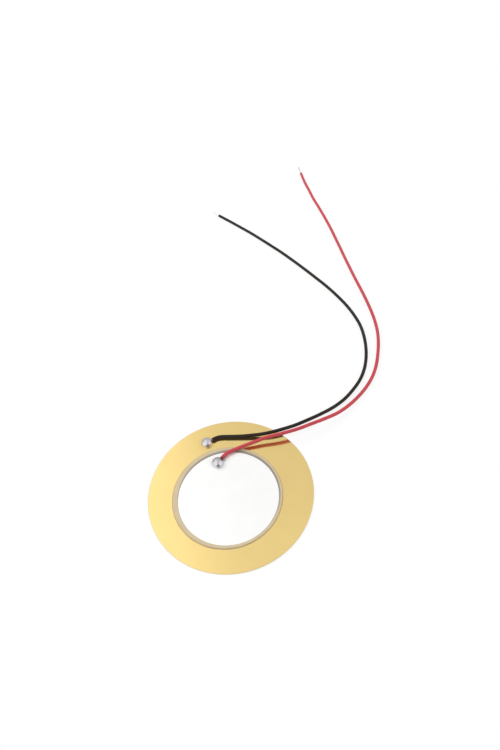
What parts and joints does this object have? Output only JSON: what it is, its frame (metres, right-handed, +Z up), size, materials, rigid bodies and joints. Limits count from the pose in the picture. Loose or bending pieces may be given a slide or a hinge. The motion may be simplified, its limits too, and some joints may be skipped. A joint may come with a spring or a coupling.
{
  "type": "piezo disc",
  "caption": "Thin round brass plate with a silvered ceramic disc bonded on it and a black and a red lead soldered to plate and silver.",
  "frame": {"origin": "centre of the brass plate's underside", "axes": "+Z up through the plate, out of the ceramic's silvered face; the leads run off over the plate's edge towards +X and then turn to +Y"},
  "size_m": [0.0587, 0.1295, 0.0026],
  "materials": {
    "brass": "satin",
    "adhesive": "satin",
    "silver": "matte",
    "ceramic": "matte",
    "solder": "bright",
    "black_pvc": "satin",
    "red_pvc": "satin",
    "tinned_copper": "satin"
  },
  "bodies": {
    "root": {"brass_plate": "brass", "adhesive": "adhesive", "lower_silver": "silver", "ceramic_disc": "ceramic", "upper_silver": "silver", "brass_joint": "solder", "silver_joint": "solder", "black_lead": "black_pvc", "black_strands": "tinned_copper", "black_tip": "tinned_copper", "red_lead": "red_pvc", "red_strands": "tinned_copper", "red_tip": "tinned_copper"}
  },
  "joints": []
}
